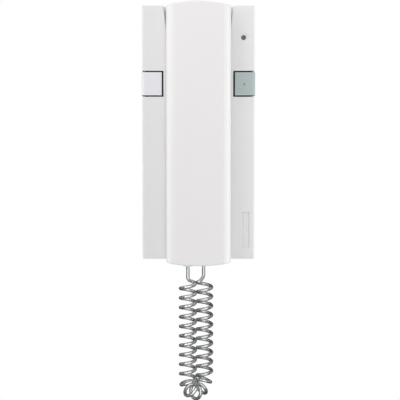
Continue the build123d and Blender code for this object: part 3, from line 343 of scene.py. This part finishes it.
# Jacks and plugs: black moulded jacks, and clear polycarbonate plugs that are crimped on the
# cord. The plugs let the light through and have polished faces.
jack_plastic = moulded("black_polyamide", "1A1A1C", "141416", 0.35, 0.0007, 0.00001)
paint(jack_plastic, "base_jack", "handset_jack")
plug_clear, tree, output = empty_material("clear_polycarbonate")
surface = add_node(
    tree,
    "ShaderNodeBsdfPrincipled",
    {
        "Base Color": linear("F2F5F7"),
        "Roughness": 0.08,
        "IOR": 1.58,
        "Transmission Weight": 0.85,
    },
)
tree.links.new(surface.outputs["BSDF"], output.inputs["Surface"])
paint(plug_clear, "base_plug", "handset_plug")

# Curly cord: a glossy silver-grey vinyl jacket, wound on a mandrel and set by heat. It leaves
# each plug straight down, and the two wound legs join in a half-round bend below. Vinyl isn't a
# metal, but this one mirrors like dull silver, so its Metallic value is high.
cord_diameter = 0.0028
curl_radius = 0.0061
points_per_curl = 16
handset_exit = Vector((-0.0085, -0.0286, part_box("handset_plug")[0].z))
base_exit = Vector((0.0045, -0.0076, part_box("base_plug")[0].z))
legs_top = -0.12
leg_length = 0.0777
leg_curls = 10.12
bend_curls = 4.86
first_curl_angle = radians(18)
tail_middle = -0.1135
tail_foot = -0.118
leg_lean = 0.0006
handset_leg = Vector((handset_exit.x, handset_exit.y, 0))
base_leg = Vector((base_exit.x + leg_lean, base_exit.y, 0))
leg_spread = base_leg - handset_leg
bend_radius = leg_spread.length / 2
bend_length = pi * bend_radius
line_length = 2 * leg_length + bend_length
total_curls = 2 * leg_curls + bend_curls
across = leg_spread.normalized()
downwards = Vector((0, 0, -1))
bend_z = legs_top - leg_length
bend_middle = (handset_leg + base_leg) / 2 + Vector((0, 0, bend_z))


def cord_line(travel):
    """Point and direction of the line that the cord winds round, and the way to its inside."""
    if travel < leg_length:
        return handset_leg + Vector((0, 0, legs_top - travel)), downwards, across
    if travel < leg_length + bend_length:
        angle = (travel - leg_length) / bend_radius
        outwards = downwards * sin(angle) - across * cos(angle)
        ahead = across * sin(angle) + downwards * cos(angle)
        return bend_middle + outwards * bend_radius, ahead, -outwards
    rise = travel - leg_length - bend_length
    return base_leg + Vector((0, 0, bend_z + rise)), -downwards, -across


def curls_at(travel):
    """Number of curls wound by the time that the line has gone so far."""
    on_first_leg = min(travel, leg_length) / leg_length
    on_bend = min(max(travel - leg_length, 0), bend_length) / bend_length
    on_second_leg = max(travel - leg_length - bend_length, 0) / leg_length
    return leg_curls * (on_first_leg + on_second_leg) + bend_curls * on_bend


def curl_point(share):
    """Middle of the cord at a share of the line that it winds round."""
    travel = line_length * share
    centre, ahead, inwards = cord_line(travel)
    angle = first_curl_angle + 2 * pi * curls_at(travel)
    return centre + (inwards * cos(angle) + ahead.cross(inwards) * sin(angle)) * curl_radius


# The last two points of the curls give way to the tail that rises to the base.
points_left_out = 2
curl_steps = round(points_per_curl * total_curls)
curls = [curl_point(step / curl_steps) for step in range(curl_steps - points_left_out)]
handset_tail = [Vector((handset_exit.x, handset_exit.y, height)) for height in (tail_middle, tail_foot)]
base_tail = [Vector((base_exit.x, base_exit.y, height)) for height in (tail_foot, tail_middle)]
route = [handset_exit, *handset_tail, *curls, *base_tail, base_exit]
line = bpy.data.curves.new("cord_line", "CURVE")
line.dimensions = "3D"
line.resolution_u = 3
spline = line.splines.new("NURBS")
spline.points.add(len(route) - 1)
for point, place in zip(spline.points, route):
    point.co = (*place, 1)
spline.order_u = 3
spline.use_endpoint_u = True
cord_shape = bpy.data.objects.new("cord_shape", line)
scene.collection.objects.link(cord_shape)
bpy.context.view_layer.update()
cord_path = [vertex.co.copy() for vertex in bpy.data.meshes.new_from_object(cord_shape).vertices]
line.bevel_depth = cord_diameter / 2
line.bevel_resolution = 4
line.use_fill_caps = True
cord_mesh = bpy.data.meshes.new_from_object(cord_shape)
cord_mesh.name = "cord"
bpy.data.objects.remove(cord_shape)
for face in cord_mesh.polygons:
    face.use_smooth = True
cord_vinyl = moulded(
    "glossy_silver_grey_vinyl",
    "F2F4F4",
    "ECEEEE",
    0.22,
    0.002,
    0.000001,
    drift=0.02,
    **{"Metallic": 0.86, "Specular Tint": linear("404242")},
)
cord_mesh.materials.clear()
cord_mesh.materials.append(cord_vinyl)
cord = bpy.data.objects.new("cord", cord_mesh)
scene.collection.objects.link(cord)
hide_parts("curly_cord")
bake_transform(cord)

# Floor and sky: a pale studio floor, as far below the phone as one that hangs on a wall. Floor
# and sky are white for the camera and for gloss and glass, and dimmer where they light the phone.
floor_level = -1.2
floor_reach = 6
sky_level = 0.68


def seen_directly(tree):
    """Socket that is 1 for rays from the camera and through gloss or glass, and 0 for others."""
    rays = add_node(tree, "ShaderNodeLightPath")
    seen = add_node(
        tree,
        "ShaderNodeMath",
        {"operation": "MAXIMUM"},
        {0: rays.outputs["Is Camera Ray"], 1: rays.outputs["Is Glossy Ray"]},
    )
    seen_through = add_node(
        tree,
        "ShaderNodeMath",
        {"operation": "MAXIMUM"},
        {0: seen.outputs["Value"], 1: rays.outputs["Is Transmission Ray"]},
    )
    return seen_through.outputs["Value"]


floor_mesh = bpy.data.meshes.new("floor")
plane = bmesh.new()
bmesh.ops.create_grid(plane, x_segments=1, y_segments=1, size=floor_reach)
bmesh.ops.translate(plane, verts=plane.verts, vec=(0, 0, floor_level))
plane.to_mesh(floor_mesh)
plane.free()
floor = bpy.data.objects.new("floor", floor_mesh)
scene.collection.objects.link(floor)
floor_paint, tree, output = empty_material("pale_floor_paint")
diffuse = add_node(tree, "ShaderNodeBsdfDiffuse", {"Color": linear("E2E2E2")})
white = add_node(tree, "ShaderNodeEmission", {"Color": linear("FFFFFF"), "Strength": 1})
mixed = add_node(
    tree,
    "ShaderNodeMixShader",
    {},
    {"Fac": seen_directly(tree), 1: diffuse.outputs["BSDF"], 2: white.outputs["Emission"]},
)
tree.links.new(mixed.outputs["Shader"], output.inputs["Surface"])
floor_mesh.materials.append(floor_paint)
world = bpy.data.worlds.new("studio")
scene.world = world
world.use_nodes = True
tree = world.node_tree
tree.nodes.clear()
level = add_node(
    tree,
    "ShaderNodeMapRange",
    {"To Min": sky_level, "To Max": 1},
    {"Value": seen_directly(tree)},
)
sky = add_node(
    tree, "ShaderNodeBackground", {"Color": linear("FFFFFF")}, {"Strength": level.outputs["Result"]}
)
add_node(tree, "ShaderNodeOutputWorld", {}, {"Surface": sky.outputs["Background"]})

# Lamps: soft boxes above and in front, the stronger ones at the left. A tall one at each side
# brightens the rounded edges of the handset, and a weaker one stands lower at the right. A lamp's
# level is the brightness of a white card that faces it.
phone_middle = Vector((0, -0.03, -0.05))
for name, azimuth, elevation, distance, width, height, level in (
    ("high_left_box", -32, 58, 0.6, 0.3, 0.3, 0.13),
    ("top_box", 0, 75, 0.9, 0.6, 0.6, 0.125),
    ("left_box", -38, 18, 1.2, 0.45, 0.45, 0.13),
    ("left_side_box", -88, 5, 1.1, 0.35, 0.9, 0.3),
    ("front_box", 8, 30, 1.2, 0.3, 0.3, 0.04),
    ("right_box", 50, 0, 1.2, 0.3, 0.5, 0.08),
    ("right_side_box", 88, 5, 1.1, 0.35, 0.9, 0.36),
    ("right_low_box", 80, -20, 1.1, 0.35, 0.6, 0.1),
):
    light = bpy.data.lights.new(name, "AREA")
    light.shape = "RECTANGLE"
    light.size = width
    light.size_y = height
    light.energy = level * pi**2 * distance**2
    lamp = bpy.data.objects.new(name, light)
    scene.collection.objects.link(lamp)
    side = radians(azimuth)
    up = radians(elevation)
    towards = Vector((sin(side) * cos(up), -cos(side) * cos(up), sin(up)))
    lamp.location = phone_middle + towards * distance
    lamp.rotation_euler = towards.to_track_quat("Z", "Y").to_euler()

# Black cards: four cards round the phone, out of view, like a tunnel that is open at both ends.
# Only gloss sees them. They stand in the reflections of the cord's sides and give it dark edges,
# as cards do in a photographer's studio.
tunnel_low = Vector((-0.5, -0.55, -0.7))
tunnel_high = Vector((0.5, 1.6, 0.38))
card_paint, tree, output = empty_material("black_card")
black = add_node(tree, "ShaderNodeBsdfDiffuse", {"Color": linear("050505")})
tree.links.new(black.outputs["BSDF"], output.inputs["Surface"])
cards_mesh = bpy.data.meshes.new("black_cards")
tunnel = bmesh.new()
bmesh.ops.create_cube(tunnel, size=1)
end_faces = [face for face in tunnel.faces if abs(face.normal.y) > facing]
bmesh.ops.delete(tunnel, geom=end_faces, context="FACES")
bmesh.ops.scale(tunnel, verts=tunnel.verts, vec=tunnel_high - tunnel_low)
bmesh.ops.translate(tunnel, verts=tunnel.verts, vec=(tunnel_low + tunnel_high) / 2)
tunnel.to_mesh(cards_mesh)
tunnel.free()
cards_mesh.materials.append(card_paint)
cards = bpy.data.objects.new("black_cards", cards_mesh)
scene.collection.objects.link(cards)
cards.visible_camera = False
cards.visible_diffuse = False
cards.visible_transmission = False
cards.visible_shadow = False

# Camera: a metre in front of the phone and as high as the middle of its base. It stands a
# little to the left and is tipped slightly down.
aim = Vector((0.0013, -0.025, -0.05383))
camera_distance = 1.035
camera_turn = radians(-0.75)
camera_tilt = radians(3.08)
camera_data = bpy.data.cameras.new("camera")
camera_data.sensor_width = 36
camera_data.lens = 116
camera = bpy.data.objects.new("camera", camera_data)
scene.collection.objects.link(camera)
from_aim = Vector(
    (sin(camera_turn) * cos(camera_tilt), -cos(camera_turn) * cos(camera_tilt), sin(camera_tilt))
)
camera.location = aim + from_aim * camera_distance
camera.rotation_euler = from_aim.to_track_quat("Z", "Y").to_euler()
scene.camera = camera
scene.view_settings.view_transform = "Standard"
